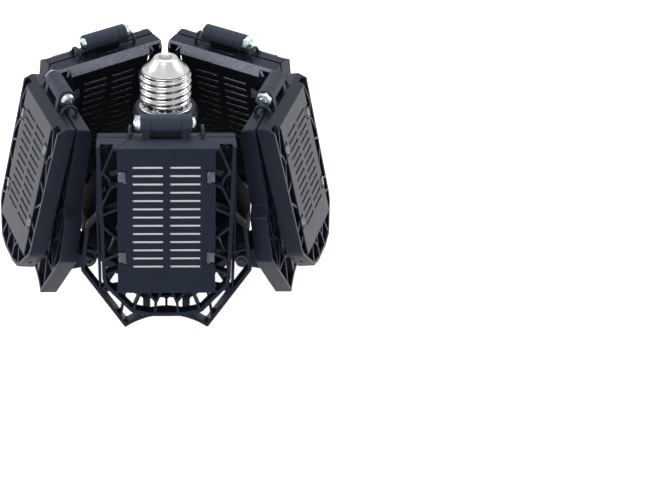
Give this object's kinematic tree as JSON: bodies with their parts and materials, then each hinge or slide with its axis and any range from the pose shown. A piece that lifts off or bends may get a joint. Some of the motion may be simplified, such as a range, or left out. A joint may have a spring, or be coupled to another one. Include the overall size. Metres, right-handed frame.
{
  "type": "folding led garage light",
  "caption": "Screw-in LED garage light with a round middle light and pairs of ribbed LED leaves that fold out on two hinges each.",
  "frame": {"origin": "top of the screw cap's centre contact, on the lamp's axis", "axes": "+Z along the lamp's axis into the lamp holder, -Y out of the first pair of leaves"},
  "size_m": [0.1728, 0.1679, 0.1141],
  "materials": {
    "black_plastic": "fine satin grain",
    "nickel": "bright",
    "zinc": "bright zinc",
    "black_steel": "satin black",
    "wire_rubber": "satin",
    "board": "white solder mask",
    "clear_plastic": "clear",
    "insulator": "satin",
    "cast_aluminium": "as machined",
    "driver": "green solder mask"
  },
  "bodies": {
    "housing": {"screw_shell": "nickel", "cap_insulator": "insulator", "centre_contact": "nickel", "cap_collar": "black_plastic", "upper_housing": "black_plastic", "lower_housing": "black_plastic", "heat_spreader": "cast_aluminium", "driver_board": "driver", "supply_wires": "wire_rubber", "centre_led_board": "board", "board_screws": "black_steel", "centre_lens": "clear_plastic"},
    "inner_leaf_1": {"inner_frame_1": "black_plastic", "inner_led_board_1": "board", "inner_lens_1": "clear_plastic", "arm_bolt_1": "black_steel", "jumper_wires_1": "wire_rubber"},
    "outer_leaf_1": {"outer_frame_1": "black_plastic", "outer_led_board_1": "board", "outer_lens_1": "clear_plastic", "leaf_bolt_1": "zinc"},
    "inner_leaf_2": {"inner_frame_2": "black_plastic", "inner_led_board_2": "board", "inner_lens_2": "clear_plastic", "arm_bolt_2": "black_steel", "jumper_wires_2": "wire_rubber"},
    "outer_leaf_2": {"outer_frame_2": "black_plastic", "outer_led_board_2": "board", "outer_lens_2": "clear_plastic", "leaf_bolt_2": "zinc"},
    "inner_leaf_3": {"inner_frame_3": "black_plastic", "inner_led_board_3": "board", "inner_lens_3": "clear_plastic", "arm_bolt_3": "black_steel", "jumper_wires_3": "wire_rubber"},
    "outer_leaf_3": {"outer_frame_3": "black_plastic", "outer_led_board_3": "board", "outer_lens_3": "clear_plastic", "leaf_bolt_3": "zinc"},
    "inner_leaf_4": {"inner_frame_4": "black_plastic", "inner_led_board_4": "board", "inner_lens_4": "clear_plastic", "arm_bolt_4": "black_steel", "jumper_wires_4": "wire_rubber"},
    "outer_leaf_4": {"outer_frame_4": "black_plastic", "outer_led_board_4": "board", "outer_lens_4": "clear_plastic", "leaf_bolt_4": "zinc"},
    "inner_leaf_5": {"inner_frame_5": "black_plastic", "inner_led_board_5": "board", "inner_lens_5": "clear_plastic", "arm_bolt_5": "black_steel", "jumper_wires_5": "wire_rubber"},
    "outer_leaf_5": {"outer_frame_5": "black_plastic", "outer_led_board_5": "board", "outer_lens_5": "clear_plastic", "leaf_bolt_5": "zinc"}
  },
  "joints": [
    {"name": "inner_fold_1", "type": "hinge", "parent": "housing", "child": "inner_leaf_1", "pos_m": [0, -0.0456, -0.1033], "axis": [1, 0, 0], "range_deg": [0, 100.8]},
    {"name": "outer_fold_1", "type": "hinge", "parent": "inner_leaf_1", "child": "outer_leaf_1", "pos_m": [0, -0.0545, -0.0095], "axis": [-1, 0, 0], "range_deg": [-2.4, 177.3], "deforming": ["jumper_wires_1"]},
    {"name": "inner_fold_2", "type": "hinge", "parent": "housing", "child": "inner_leaf_2", "pos_m": [0.04337, -0.01409, -0.1033], "axis": [0.309, 0.9511, 0], "range_deg": [0, 100.8]},
    {"name": "outer_fold_2", "type": "hinge", "parent": "inner_leaf_2", "child": "outer_leaf_2", "pos_m": [0.05183, -0.01684, -0.0095], "axis": [-0.309, -0.9511, 0], "range_deg": [-2.4, 177.3], "deforming": ["jumper_wires_2"]},
    {"name": "inner_fold_3", "type": "hinge", "parent": "housing", "child": "inner_leaf_3", "pos_m": [0.0268, 0.03689, -0.1033], "axis": [-0.809, 0.5878, 0], "range_deg": [0, 100.8]},
    {"name": "outer_fold_3", "type": "hinge", "parent": "inner_leaf_3", "child": "outer_leaf_3", "pos_m": [0.03203, 0.04409, -0.0095], "axis": [0.809, -0.5878, 0], "range_deg": [-2.4, 177.3], "deforming": ["jumper_wires_3"]},
    {"name": "inner_fold_4", "type": "hinge", "parent": "housing", "child": "inner_leaf_4", "pos_m": [-0.0268, 0.03689, -0.1033], "axis": [-0.809, -0.5878, 0], "range_deg": [0, 100.8]},
    {"name": "outer_fold_4", "type": "hinge", "parent": "inner_leaf_4", "child": "outer_leaf_4", "pos_m": [-0.03203, 0.04409, -0.0095], "axis": [0.809, 0.5878, 0], "range_deg": [-2.4, 177.3], "deforming": ["jumper_wires_4"]},
    {"name": "inner_fold_5", "type": "hinge", "parent": "housing", "child": "inner_leaf_5", "pos_m": [-0.04337, -0.01409, -0.1033], "axis": [0.309, -0.9511, 0], "range_deg": [0, 100.8]},
    {"name": "outer_fold_5", "type": "hinge", "parent": "inner_leaf_5", "child": "outer_leaf_5", "pos_m": [-0.05183, -0.01684, -0.0095], "axis": [-0.309, 0.9511, 0], "range_deg": [-2.4, 177.3], "deforming": ["jumper_wires_5"]}
  ]
}
